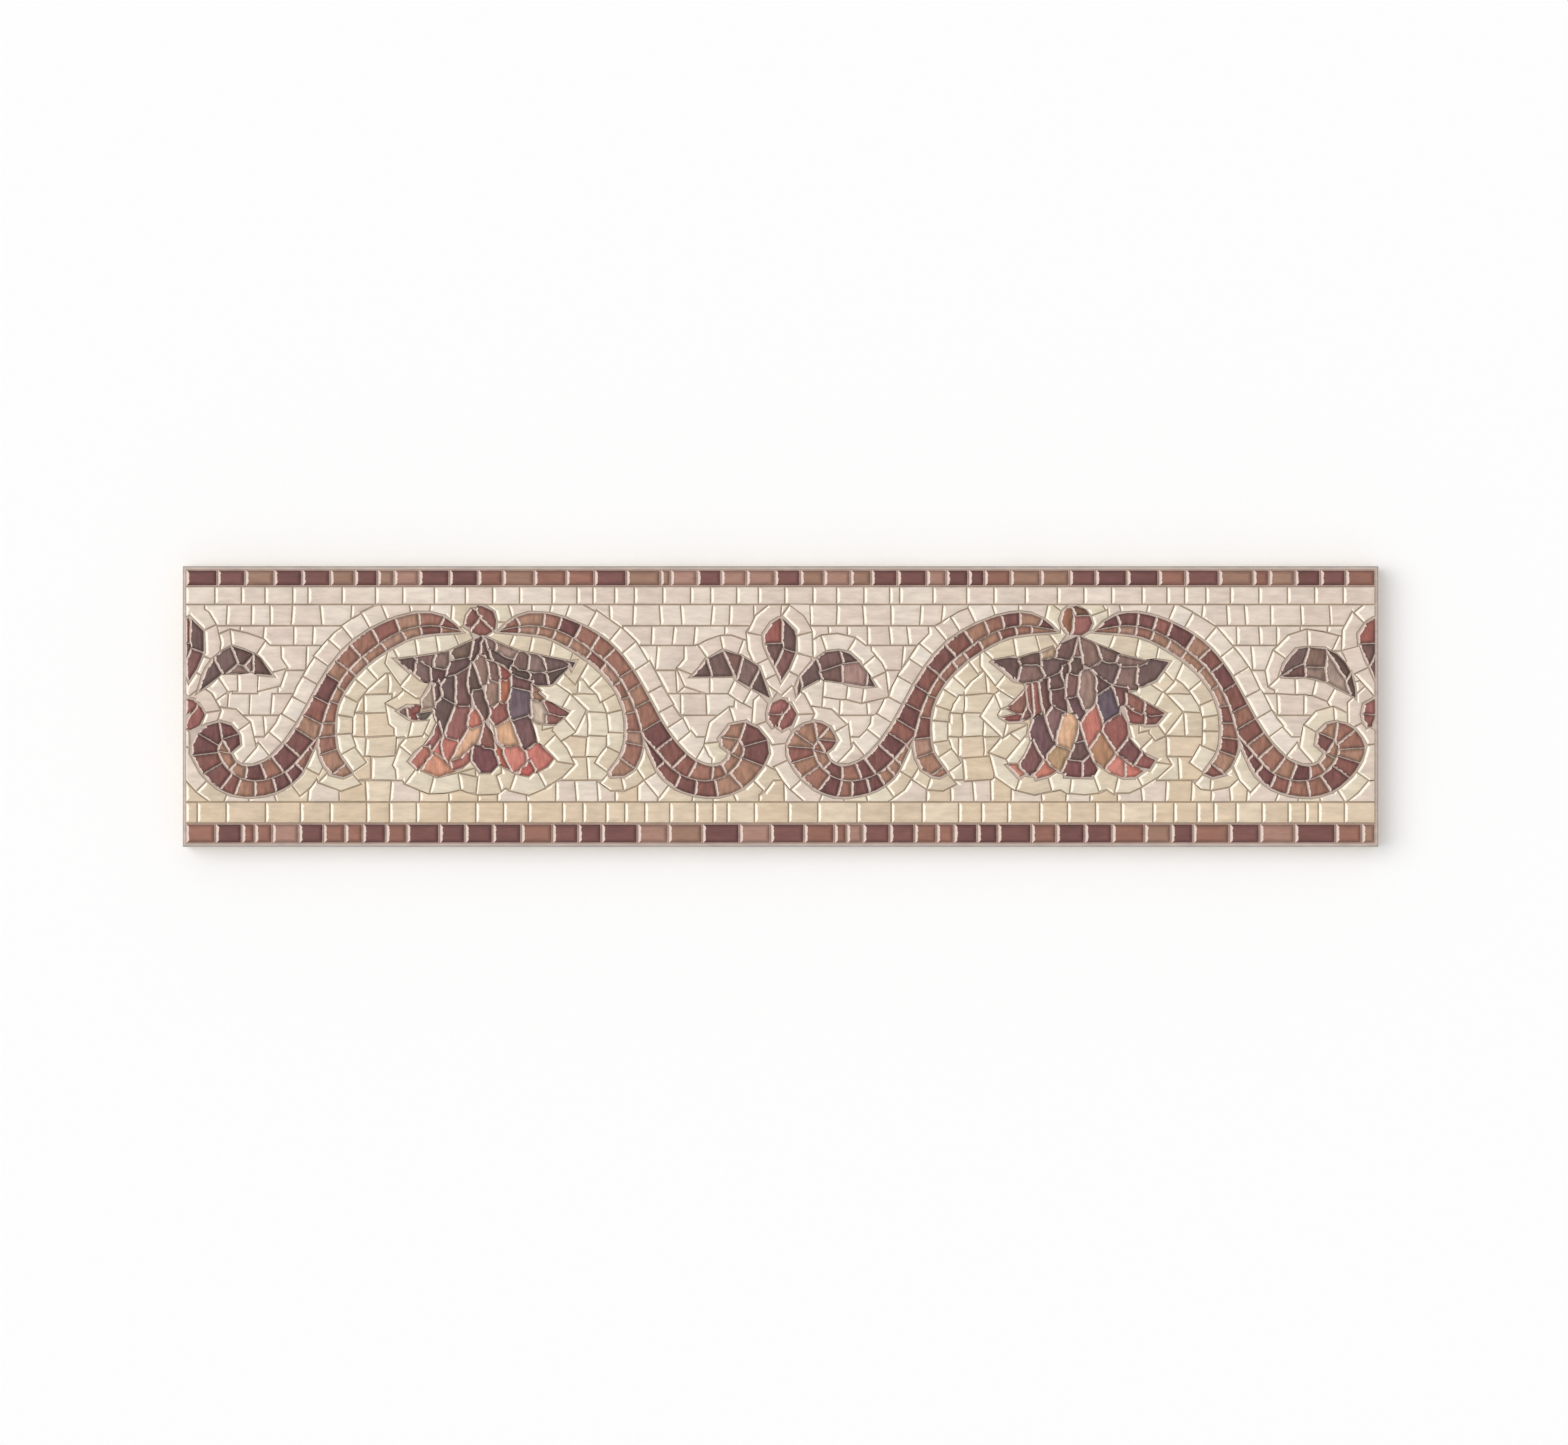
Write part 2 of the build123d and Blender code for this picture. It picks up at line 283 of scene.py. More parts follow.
left_leaf_pieces = [
    ("674F4A", [(-18.2, 11.2), (-17.4, 8.0), (-21.4, 7.6), (-19.6, 9.2)]),
    ("6F5651", [(-17.5, 11.2), (-14.3, 13.3), (-11.9, 8.0), (-16.3, 7.9)]),
    ("75564F", [(-13.2, 13.4), (-9.6, 12.2), (-10.8, 8.2), (-11.6, 9.6)]),
    ("7A605B", [(-8.6, 11.8), (-5.4, 9.8), (-7.8, 5.3), (-9.8, 7.0)]),
    ("664E49", [(-4.6, 8.5), (-2.5, 2.5), (-4.6, 3.6), (-6.2, 5.2)]),
]
right_leaf_pieces = [
    ("67504B", [(5.0, 7.2), (5.2, 5.2), (4.4, 2.8), (4.4, 4.6)]),
    ("6A534F", [(8.8, 11.3), (9.6, 9.6), (9.4, 6.8), (6.2, 5.1), (5.7, 7.2)]),
    ("715450", [(9.9, 11.8), (11.6, 13.2), (14.9, 13.6), (15.4, 10.9), (10.8, 9.6)]),
    ("654C48", [(15.7, 13.6), (17.6, 13.0), (19.2, 11.6), (16.4, 11.0)]),
    ("73554F", [(11.0, 8.2), (15.3, 9.7), (15.3, 6.5), (12.0, 6.8)]),
    ("9F7E75", [(16.0, 10.2), (19.8, 10.7), (21.2, 8.4), (21.0, 5.2), (16.2, 6.0)]),
    ("664E49", [(22.4, 7.6), (23.6, 5.4), (22.4, 5.2)]),
]
left_end_leaf_pieces = [
    ("69534F", [(3.0, 4.0), (5.4, 5.7), (8.0, 8.3), (6.5, 11.4), (5.0, 9.3), (3.8, 6.6)]),
    ("6F5854", [(7.2, 11.4), (8.4, 13.0), (10.7, 14.5), (12.0, 11.0), (11.9, 10.4), (9.6, 8.6),
                (8.8, 9.3)]),
    ("8A7066", [(10.6, 8.6), (12.4, 10.0), (13.0, 10.0), (15.0, 8.8), (14.8, 8.6)]),
    ("624A44", [(11.6, 14.5), (13.8, 13.9), (16.0, 12.8), (14.4, 10.8), (13.2, 11.0), (12.6, 12.0)]),
    ("7D645B", [(14.8, 10.3), (16.0, 11.6), (16.2, 9.8), (15.5, 9.4)]),
    ("664C44", [(16.9, 12.6), (18.0, 11.7), (19.8, 9.6), (20.8, 8.1), (17.6, 8.4), (16.7, 10.0)]),
]
right_end_leaf_pieces = [
    ("6A534F", [(-19.2, 14.0), (-16.9, 14.2), (-17.6, 11.6), (-18.2, 10.8), (-20.6, 9.8), (-23.0, 8.4),
                (-22.2, 10.4), (-20.6, 12.6)]),
    ("6B4B45", [(-22.0, 7.5), (-18.0, 7.5), (-17.8, 9.9), (-19.4, 9.4)]),
    ("7B6055", [(-15.8, 14.4), (-12.6, 14.2), (-12.4, 10.2), (-16.8, 10.2), (-17.0, 10.9), (-16.4, 12.6)]),
    ("8B7267", [(-16.4, 9.4), (-12.4, 9.2), (-12.3, 6.8), (-14.8, 7.3), (-16.2, 7.6)]),
    ("59443C", [(-11.4, 13.9), (-9.4, 12.6), (-7.4, 10.4), (-6.2, 8.6), (-7.0, 7.4), (-8.4, 8.8),
                (-10.0, 11.8)]),
    ("9C867A", [(-11.2, 11.6), (-9.8, 10.2), (-8.4, 7.6), (-7.2, 5.6), (-6.8, 4.2), (-8.8, 4.8),
                (-11.4, 6.4), (-11.8, 9.0)]),
    ("5C4941", [(-5.6, 7.8), (-4.8, 4.6), (-4.7, 2.8), (-6.2, 4.4), (-6.7, 6.0)]),
]
bud_outline = [(0.4, 22.2), (-2.2, 20.6), (-4.0, 17.6), (-3.6, 14.6), (0.4, 6.3), (4.2, 13.4), (4.4, 17.6),
               (2.6, 20.6), (0.4, 22.2)]
ball_outline = [(0.4, 2.0), (-2.2, 0.8), (-3.1, -2.0), (-2.0, -5.0), (0.8, -6.0), (3.2, -4.8), (4.5, -2.0),
                (3.2, 0.6), (0.4, 2.0)]
left_leaf_outline = [(-2.3, 2.0), (-5.2, 10.2), (-9.4, 12.8), (-13.6, 14.0), (-18.2, 11.8), (-22.0, 7.3),
                     (-12.0, 7.3), (-7.6, 4.8), (-2.3, 2.0)]
right_leaf_outline = [(4.2, 2.3), (6.2, 4.6), (10.0, 6.6), (16.0, 5.8), (24.0, 4.8), (22.6, 8.0),
                      (19.6, 11.6), (15.4, 14.2), (11.4, 13.6), (8.6, 11.6), (5.0, 7.6), (4.2, 2.3)]
left_end_leaf_outline = [(2.7, 3.4), (4.4, 4.6), (6.2, 6.0), (8.8, 8.0), (13.0, 8.2), (17.0, 8.1),
                         (21.3, 7.7), (20.0, 9.8), (18.3, 12.2), (16.6, 13.4), (14.2, 14.2), (11.2, 15.2),
                         (8.6, 13.8), (6.4, 12.1), (4.4, 8.4), (2.7, 3.4)]
right_end_leaf_outline = [(-4.4, 2.0), (-4.6, 4.6), (-5.4, 8.2), (-7.0, 11.0), (-9.0, 13.0), (-11.6, 14.4),
                          (-16.4, 14.9), (-19.0, 14.4), (-21.4, 12.0), (-23.8, 7.6), (-21.6, 7.2),
                          (-17.6, 7.3), (-14.0, 6.7), (-11.4, 5.8), (-7.4, 3.6), (-4.4, 2.0)]


def along(outline):
    """Points evenly along straight lines."""
    points = [Vector(outline[0])]
    for start, end in zip(outline, outline[1:]):
        start, end = Vector(start), Vector(end)
        count = max(1, round((end - start).length / point_gap))
        points += [start.lerp(end, step / count) for step in range(1, count + 1)]
    return points


left_end_leaves = [(left_end_leaf_outline, left_end_leaf_pieces)]
middle_leaves = [(left_leaf_outline, left_leaf_pieces), (right_leaf_outline, right_leaf_pieces)]
right_end_leaves = [(right_end_leaf_outline, right_end_leaf_pieces)]
for axis, leaves in zip(bud_axes, (left_end_leaves, middle_leaves, right_end_leaves)):
    motifs = leaves + [(ball_outline, ball_pieces), (bud_outline, bud_pieces)]
    for outline, pieces in motifs:
        lay_halo(along(outline[::-1]), 4.2, 5.2, axis, 1, cream_glazes)
    for outline, pieces in motifs:
        for glaze, piece in pieces:
            lay_piece(place(piece, axis, 1), glaze, place(outline, axis, 1))

# Flowers: a lily of glazed clay with a ball on top, two wing leaves and a curl on each side.
# Its hanging petals turn from brown to coral, and the two flowers are cut differently.
left_flower_pieces = [
    ("855A52", [(-0.2, 24.5), (1.6, 24.4), (3.2, 23.3), (3.8, 21.5), (3.6, 19.6), (1.5, 21.3),
                (-0.1, 23.2)]),
    ("83574F", [(-3.6, 20.2), (-3.1, 22.6), (-2.3, 23.5), (-0.9, 22.3), (-1.6, 21.2), (-3.0, 19.9)]),
    ("8A5A52", [(-1.6, 19.2), (-0.2, 20.8), (1.9, 18.9), (1.2, 18.1), (-0.6, 18.1), (-1.5, 18.6)]),
    ("664A47", [(-0.2, 16.8), (-1.6, 15.6), (-2.2, 12.2), (-1.2, 12.4), (-0.4, 14.5)]),
    ("6F594D", [(-2.7, 15.5), (-5.6, 14.2), (-6.6, 13.2), (-6.0, 12.6), (-3.0, 13.0)]),
    ("664D4A", [(-3.4, 11.4), (-7.0, 10.4), (-7.8, 8.0), (-6.2, 8.4), (-3.8, 9.8)]),
    ("80685F", [(-8.8, 13.0), (-10.6, 12.3), (-11.2, 11.2), (-10.8, 10.0), (-9.4, 9.8), (-8.8, 11.0)]),
    ("7B5F57", [(-12.4, 12.0), (-15.4, 11.8), (-14.2, 10.9), (-12.6, 10.4)]),
    ("79605A", [(-13.2, 9.6), (-14.8, 10.9), (-16.1, 10.6), (-16.1, 8.6), (-14.8, 7.0), (-13.2, 6.9)]),
    ("654D48", [(-16.6, 11.5), (-20.7, 11.6), (-18.9, 10.2), (-17.6, 9.0), (-16.8, 9.4)]),
    ("664A48", [(-9.5, 8.6), (-11.8, 9.1), (-11.6, 7.0), (-10.2, 6.3), (-9.6, 6.7)]),
    ("74534F", [(-3.8, 8.6), (-5.8, 7.6), (-6.0, 2.0), (-5.0, 0.4), (-3.2, 0.5), (-3.3, 3.0), (-3.9, 5.5)]),
    ("67524F", [(-7.0, 7.2), (-8.8, 6.4), (-9.9, 4.6), (-8.8, 2.4), (-7.0, 1.4), (-6.7, 4.0)]),
    ("654A48", [(-10.6, 6.0), (-11.2, 4.2), (-11.0, 2.2), (-10.4, 2.6), (-10.3, 4.5)]),
    ("67514D", [(-9.6, 1.6), (-7.0, 0.3), (-8.3, -2.8), (-9.4, -5.3), (-10.6, -2.5), (-10.9, -0.5)]),
    ("905F5A", [(-3.6, -0.4), (-6.0, -0.4), (-7.4, -4.0), (-8.2, -7.6), (-5.8, -8.2), (-4.2, -5.6),
                (-3.6, -3.0)]),
    ("BC7665", [(-2.6, -2.6), (-1.4, -1.4), (-0.4, -2.6), (-0.2, -4.6), (-2.0, -5.2), (-2.8, -4.0)]),
    ("CFA385", [(-0.2, -5.2), (-2.2, -5.8), (-4.4, -9.2), (-7.2, -13.2), (-5.2, -12.6), (-2.4, -9.6),
                (-0.6, -7.0)]),
    ("A4675C", [(-2.8, -11.4), (-5.0, -13.0), (-7.0, -13.8), (-6.8, -15.0), (-4.6, -14.2), (-2.6, -12.4)]),
    ("B57063", [(-6.4, -8.8), (-8.6, -8.0), (-9.6, -9.6), (-9.2, -11.6), (-8.2, -13.6), (-7.2, -11.6)]),
    ("C98E74", [(-11.2, -12.4), (-8.6, -14.4), (-7.8, -15.6), (-10.5, -16.6), (-13.4, -15.4),
                (-12.6, -13.6)]),
    ("A86A5C", [(-13.2, -10.3), (-15.8, -11.6), (-17.4, -13.6), (-15.9, -14.8), (-13.4, -12.0)]),
    ("8E5A55", [(-10.6, -5.0), (-10.2, -7.4), (-12.0, -10.2), (-12.9, -9.6), (-11.6, -7.0)]),
    ("B87066", [(-10.4, -9.4), (-9.9, -12.0), (-11.4, -10.8)]),
    ("8F7266", [(-0.6, 12.4), (0.6, 12.2), (1.4, 8.5), (1.3, 6.4), (0.4, 6.2), (-0.2, 8.0), (-0.9, 10.5)]),
    ("624C46", [(-2.2, 10.0), (-1.6, 8.2), (-0.6, 4.8), (-2.4, 4.0), (-2.9, 6.0)]),
    ("6A504A", [(-1.6, 3.8), (-0.2, 3.6), (0.8, 1.2), (1.6, -1.6), (0.8, -2.6), (-0.6, -0.2)]),
    ("6B4C48", [(0.3, 15.6), (0.7, 13.2), (1.7, 12.6), (1.0, 16.0)]),
    ("7D5F56", [(2.4, 10.6), (4.0, 10.2), (4.4, 8.6), (4.2, 6.2), (2.8, 7.0)]),
    ("937668", [(2.4, 6.2), (4.3, 5.4), (4.4, 2.0), (3.4, 0.0), (2.0, 1.8), (2.0, 4.0)]),
    ("94534C", [(4.8, 10.0), (6.6, 8.8), (7.2, 8.0), (6.2, 6.8), (5.0, 8.2)]),
    ("A5674F", [(5.0, 6.0), (6.7, 6.2), (6.6, 2.2), (5.4, 0.9), (4.9, 3.4)]),
    ("8F5952", [(4.4, 0.6), (6.4, 0.3), (6.4, -2.6), (4.2, -4.2), (2.9, -2.6), (3.0, -0.6)]),
    ("CBA07F", [(6.8, -4.0), (8.2, -6.2), (9.2, -9.2), (7.4, -10.0), (5.0, -8.2), (4.5, -5.4)]),
    ("C67E70", [(6.8, -10.4), (9.2, -10.0), (10.9, -12.0), (10.8, -14.8), (8.4, -15.4), (6.6, -13.6),
                (5.8, -11.8)]),
    ("83564D", [(1.0, -4.8), (2.0, -6.8), (2.8, -9.8), (1.2, -9.9), (0.5, -8.6)]),
    ("75494A", [(-1.4, -10.4), (1.8, -11.0), (3.8, -12.6), (3.9, -13.8), (2.2, -15.6), (0.4, -15.6),
                (-2.0, -12.4)]),
    ("A8604F", [(4.2, -10.6), (5.4, -12.0), (6.2, -14.4), (5.2, -13.8), (4.2, -12.2)]),
    ("7E625C", [(1.4, 17.0), (3.6, 15.6), (3.4, 14.4), (2.2, 14.6)]),
    ("9A7F74", [(4.2, 15.4), (9.0, 13.6), (8.2, 12.4), (6.4, 12.4), (4.2, 14.0)]),
    ("5E4A45", [(3.0, 13.8), (7.8, 11.2), (7.0, 9.8), (5.0, 11.0), (3.2, 12.8)]),
    ("715850", [(9.2, 13.0), (11.8, 12.4), (11.4, 9.8), (9.6, 9.4), (8.6, 10.6)]),
    ("806862", [(12.4, 12.2), (15.4, 11.8), (15.9, 9.4), (13.2, 8.8), (12.3, 9.4)]),
    ("6A5350", [(15.8, 11.7), (22.0, 10.6), (20.6, 9.8), (17.2, 8.6), (16.4, 10.0)]),
    ("564540", [(22.2, 10.8), (23.4, 10.9), (22.8, 9.8)]),
    ("5A4842", [(16.8, 8.2), (21.2, 9.6), (18.4, 6.2), (17.2, 6.1)]),
    ("654B49", [(12.8, 8.0), (16.0, 7.6), (16.2, 6.1), (13.8, 6.2), (12.8, 6.9)]),
    ("5A4841", [(7.8, 9.6), (11.8, 7.8), (11.6, 6.9), (9.6, 7.6), (7.6, 9.0)]),
    ("6E4C4A", [(8.2, 7.2), (12.2, 6.0), (12.2, 4.2), (8.4, 4.9), (8.3, 6.0)]),
    ("6C5A60", [(8.4, 4.2), (12.0, 3.4), (12.0, -1.8), (10.5, -2.2), (8.4, -3.2), (7.1, -0.5), (7.2, 1.8)]),
    ("70514F", [(8.5, -3.8), (11.5, -2.9), (13.3, -8.8), (11.8, -9.9), (10.6, -10.0), (8.9, -6.2)]),
    ("B97166", [(11.8, -11.0), (13.4, -9.9), (15.4, -10.4), (17.4, -12.6), (16.2, -14.2), (14.0, -15.5),
                (12.2, -13.0)]),
    ("AC5850", [(10.6, -15.2), (12.2, -14.2), (12.9, -15.4), (11.8, -16.4), (10.6, -16.2)]),
    ("80504C", [(16.4, 0.8), (21.3, -1.3), (20.4, -2.1), (17.2, -0.6)]),
    ("8E6058", [(16.8, -2.8), (18.6, -3.0), (20.2, -2.8), (18.2, -3.9), (17.0, -3.6)]),
    ("94705E", [(13.2, 4.4), (15.4, 2.4), (14.6, 1.6), (13.2, 2.8)]),
    ("BFAA98", [(13.0, 1.0), (14.8, 0.8), (15.8, -1.2), (15.4, -3.8), (13.4, -2.6)]),
    ("8E544E", [(-18.3, -0.4), (-15.8, -0.6), (-16.4, -2.4), (-18.0, -2.2)]),
    ("7A5F55", [(-20.0, -1.2), (-18.8, -0.5), (-18.6, -2.2)]),
    ("6E5F58", [(-15.4, -2.2), (-12.8, -1.6), (-14.2, -2.8)]),
    ("A5907F", [(-13.9, 2.6), (-12.6, 4.5), (-12.2, 0.6), (-13.8, 0.4)]),
]
right_flower_pieces = [
    ("94664F", [(-3.2, 23.2), (-2.2, 24.3), (-1.2, 24.2), (-1.2, 20.5), (-1.8, 18.4), (-3.2, 20.2),
                (-3.6, 21.6)]),
    ("70503F", [(-0.6, 24.7), (1.0, 24.4), (2.6, 23.0), (0.2, 22.7), (0.0, 23.6)]),
    ("94605A", [(0.1, 22.3), (3.4, 22.2), (3.9, 20.6), (3.0, 19.0), (1.4, 18.0), (-0.1, 18.6),
                (-0.3, 20.4)]),
    ("6E524D", [(-0.3, 16.7), (-2.6, 15.8), (-4.0, 13.6), (-4.4, 12.3), (-1.4, 12.0), (-0.6, 14.2)]),
    ("B5987E", [(-6.2, 14.2), (-7.9, 13.4), (-8.0, 12.4), (-5.8, 12.0), (-5.6, 13.0)]),
    ("6F544C", [(-9.6, 12.6), (-14.0, 11.2), (-13.0, 10.6), (-9.2, 10.9)]),
    ("654D49", [(-14.6, 11.1), (-16.6, 11.3), (-20.2, 10.8), (-18.4, 9.6), (-15.6, 7.0), (-14.8, 7.6),
                (-14.3, 9.6)]),
    ("80635C", [(-13.0, 10.0), (-10.0, 9.8), (-8.2, 8.0), (-9.6, 6.6), (-12.0, 6.0), (-13.8, 6.4),
                (-13.7, 8.8)]),
    ("6C5451", [(-8.0, 10.8), (-6.0, 11.9), (-2.6, 11.0), (-4.4, 8.8), (-7.4, 8.0), (-8.0, 9.4)]),
    ("684D48", [(-4.0, 7.9), (-6.2, 6.4), (-6.4, 4.6), (-4.6, 4.6), (-3.5, 5.0)]),
    ("6B4B49", [(-3.3, 4.0), (-5.8, 3.6), (-6.2, 1.6), (-4.6, -0.2), (-3.0, -0.9), (-3.2, 2.0)]),
    ("80605E", [(-5.6, -0.4), (-3.2, -1.6), (-4.4, -5.2), (-5.6, -7.4), (-7.0, -4.0), (-7.1, -2.0)]),
    ("6B4A45", [(-8.8, 6.0), (-7.6, 6.2), (-6.9, 2.0), (-6.7, 0.0), (-7.6, -1.6), (-8.4, 2.0)]),
    ("8A5C52", [(-12.0, 5.6), (-11.1, 5.7), (-10.6, -1.9), (-11.6, -0.4)]),
    ("945F55", [(-10.8, 5.8), (-10.0, 5.8), (-9.1, -1.5), (-10.2, -1.9)]),
    ("6C4E50", [(-8.4, -2.2), (-9.6, -3.0), (-10.8, -6.4), (-9.8, -10.0), (-7.9, -12.3), (-5.8, -9.8),
                (-7.4, -5.2)]),
    ("7B5450", [(-10.6, -9.8), (-9.0, -13.2), (-9.8, -15.6), (-12.2, -16.8), (-13.8, -15.2),
                (-12.0, -12.8)]),
    ("B67968", [(-14.6, -15.2), (-16.6, -15.0), (-14.0, -17.5), (-12.8, -16.8)]),
    ("D0A685", [(-3.2, -2.4), (-0.6, -2.6), (-0.2, -6.4), (-1.6, -10.0), (-3.8, -9.2), (-4.2, -6.2)]),
    ("AC8C6C", [(-5.4, -10.4), (-2.2, -11.2), (-3.2, -14.2), (-4.4, -15.8), (-6.0, -14.6), (-6.8, -12.0)]),
    ("B47262", [(-7.8, -14.4), (-5.2, -16.0), (-6.4, -17.0), (-9.6, -17.8), (-10.0, -17.0)]),
    ("83645A", [(0.5, 15.8), (1.2, 12.8), (-0.2, 12.6), (0.1, 14.2)]),
    ("66514A", [(-0.4, 12.0), (1.0, 11.8), (1.0, 9.0), (0.4, 8.0), (-0.8, 8.6), (-1.2, 10.4)]),
    ("785752", [(-2.0, 7.6), (0.3, 7.3), (0.2, 4.0), (-0.2, 2.6), (-2.0, 2.6), (-1.9, 5.0)]),
    ("65494A", [(-1.2, 1.6), (0.4, 2.1), (1.6, -1.9), (1.2, -2.6), (0.2, -2.0)]),
    ("967A70", [(1.4, 8.2), (3.4, 8.4), (4.6, 6.0), (4.2, 2.0), (3.4, 0.4), (2.2, 0.2), (0.8, 3.0),
                (1.2, 6.0)]),
    ("614943", [(-3.2, 10.0), (-2.2, 10.0), (-2.8, 6.9), (-3.4, 8.0)]),
    ("6B4C46", [(0.9, -5.0), (1.5, -8.0), (0.5, -8.4)]),
    ("6B504B", [(0.4, -9.6), (1.8, -9.3), (2.8, -11.8), (1.2, -13.4), (-0.9, -12.9)]),
    ("7B4E4C", [(-1.9, -13.8), (1.2, -14.0), (1.2, -17.4), (-2.4, -17.2), (-2.6, -15.6)]),
    ("754A48", [(3.2, -13.2), (4.4, -15.6), (3.8, -17.4), (2.0, -17.4), (2.0, -14.0)]),
    ("84685E", [(1.6, 16.7), (4.4, 15.2), (6.0, 12.0), (5.8, 11.2), (3.8, 10.5), (2.2, 11.4), (1.5, 13.6)]),
    ("735A52", [(6.0, 14.4), (9.9, 12.6), (9.2, 11.4), (7.8, 11.2), (6.4, 12.6)]),
    ("82675E", [(11.0, 12.0), (17.6, 11.0), (15.4, 10.2), (11.2, 10.2), (10.8, 11.0)]),
    ("6A534F", [(22.8, 10.7), (18.4, 10.8), (15.8, 9.2), (15.3, 6.0), (17.8, 5.8), (20.0, 6.8)]),
    ("82675F", [(11.0, 9.4), (14.8, 9.5), (14.6, 5.0), (12.6, 5.0), (10.1, 5.9)]),
    ("6A5451", [(6.0, 10.8), (10.8, 9.9), (9.0, 6.0), (8.4, 6.2), (4.6, 9.3)]),
    ("654B49", [(5.6, 6.6), (8.0, 5.5), (5.9, 4.0), (5.3, 4.6)]),
    ("62525A", [(8.9, 4.2), (9.8, 2.0), (10.4, -1.6), (7.0, -3.4), (6.0, -0.6), (5.9, 2.2)]),
    ("754E4A", [(9.8, 4.4), (12.2, 4.4), (11.9, 1.4), (10.8, 0.9), (10.2, 2.4)]),
    ("B57164", [(4.9, -0.8), (5.8, -3.2), (6.0, -5.6), (4.2, -9.0), (3.2, -9.4), (2.0, -5.8), (2.1, -3.6)]),
    ("A67C60", [(6.0, -7.0), (7.6, -9.2), (9.0, -12.0), (8.2, -13.6), (7.2, -14.4), (5.2, -13.0),
                (4.0, -10.6), (4.6, -9.0)]),
    ("8E5852", [(10.8, -2.4), (11.9, -4.4), (12.2, -8.0), (10.4, -10.2), (8.8, -8.4), (7.2, -5.6),
                (8.4, -4.0)]),
    ("744C4A", [(12.9, -8.8), (15.4, -11.6), (14.6, -13.0), (14.0, -14.0), (11.0, -11.2)]),
    ("8E5853", [(17.0, -12.2), (19.6, -13.4), (18.4, -15.4), (17.2, -15.2), (15.6, -14.4)]),
    ("C27D70", [(9.8, -13.0), (12.0, -14.2), (12.0, -17.0), (10.2, -16.8), (8.0, -14.9)]),
    ("BC7263", [(12.6, -14.6), (16.6, -16.1), (14.8, -17.4), (12.6, -17.5)]),
    ("8A5E52", [(13.0, 2.6), (16.7, 0.6), (16.0, -1.4), (14.6, -0.8), (13.3, 0.8)]),
    ("7D5248", [(17.8, 0.3), (21.9, -1.6), (19.0, -2.2), (17.6, -1.0)]),
    ("8A544E", [(13.4, -1.2), (16.6, -2.6), (16.4, -4.0), (14.0, -3.2)]),
    ("7F524C", [(18.0, -2.9), (21.4, -2.7), (20.0, -4.3), (18.0, -4.4)]),
    ("8E6256", [(-13.0, 2.8), (-12.6, 0.0), (-13.2, -1.6), (-15.8, -0.2), (-15.0, 0.8)]),
    ("8E544E", [(-13.6, -2.5), (-18.2, -3.0), (-16.6, -3.6), (-14.0, -3.5)]),
    ("7A5550", [(-12.0, -0.4), (-11.8, -2.0), (-13.2, -2.6), (-12.9, -1.5)]),
]
flower_outline = [(0.2, 25.2), (-2.8, 24.2), (-4.1, 21.4), (-2.6, 18.6), (-0.2, 17.4), (-8.5, 13.7),
                  (-21.2, 11.7), (-14.5, 6.2), (-12.0, 5.0), (-16.5, 0.2), (-20.4, -1.4), (-17.5, -3.6),
                  (-12.2, -3.4), (-11.4, -6.0), (-17.8, -13.8), (-15.8, -16.0), (-10.4, -17.8),
                  (-4.4, -16.2), (-2.6, -17.4), (1.0, -17.8), (4.4, -17.2), (6.4, -16.0), (11.8, -17.8),
                  (19.4, -13.8), (14.2, -8.6), (13.2, -4.4), (19.0, -4.6), (22.4, -1.6), (14.0, 3.2),
                  (18.0, 5.6), (23.6, 11.1), (9.4, 14.0), (1.2, 17.4), (3.4, 18.8), (4.2, 21.4),
                  (3.0, 24.0), (0.2, 25.2)]
for axis, pieces in zip(flower_axes, (left_flower_pieces, right_flower_pieces)):
    lay_halo(along(flower_outline)[::-1], 4.4, 5.4, axis, 1, arch_glazes)
    for glaze, outline in pieces:
        lay_piece(place(outline, axis, 1), glaze, place(flower_outline, axis, 1))

# Pressed face: the tesserae are low blocks of clay with a soft edge, pressed and glazed with the light bed.
# The outlines lie over one another by rank, and what is left in sight of each one is its tessera.
# Each block starts a little under the bed, so that it stands in the body.
bed_level, face_level = 7.5, 8.0
foot_level = bed_level - 0.2
joint_rise = 0.22
merge_distance = 0.02
corners, lines = [], []
for rank, tessera, outline, within in laid:
    start, count = len(corners), len(outline)
    corners += [Vector(p) for p in outline]
    lines += [(start + i, start + (i + 1) % count) for i in range(count)]
points, _, cells, _, _, _ = delaunay_2d_cdt(corners, lines, [], 0, merge_distance, False)
middles = np.array([sum((points[i] for i in cell), Vector((0, 0))) / len(cell) for cell in cells])


def inside(outline, places):
    """Which of the places the outline runs round."""
    turns = np.zeros(len(places), int)
    x, y = places.T
    for (ax, ay), (bx, by) in sides(outline):
        if ay != by:
            passed = ((ay > y) != (by > y)) & (x < ax + (y - ay) * (bx - ax) / (by - ay))
            turns += np.where(passed, 1 if by > ay else -1, 0)
    return turns != 0


owners = np.full(len(cells), -1)
for rank, tessera, outline, within in sorted(laid, key=lambda entry: entry[0]):
    low, high = np.min(outline, 0), np.max(outline, 0)
    near = np.flatnonzero(((middles > low) & (middles < high)).all(1))
    near = near[inside(outline, middles[near])]
    owners[near[inside(within, middles[near])] if within else near] = tessera


def kind_of(tessera):
    return tesserae[tessera][0]


shown = {}
for cell, (x, y), tessera in zip(cells, middles, owners.tolist()):
    on_panel = abs(x) < half_length and abs(y) < half_width
    if tessera >= 0 and kind_of(tessera) != "bed" and on_panel:
        shown.setdefault(tessera, []).append(list(cell))


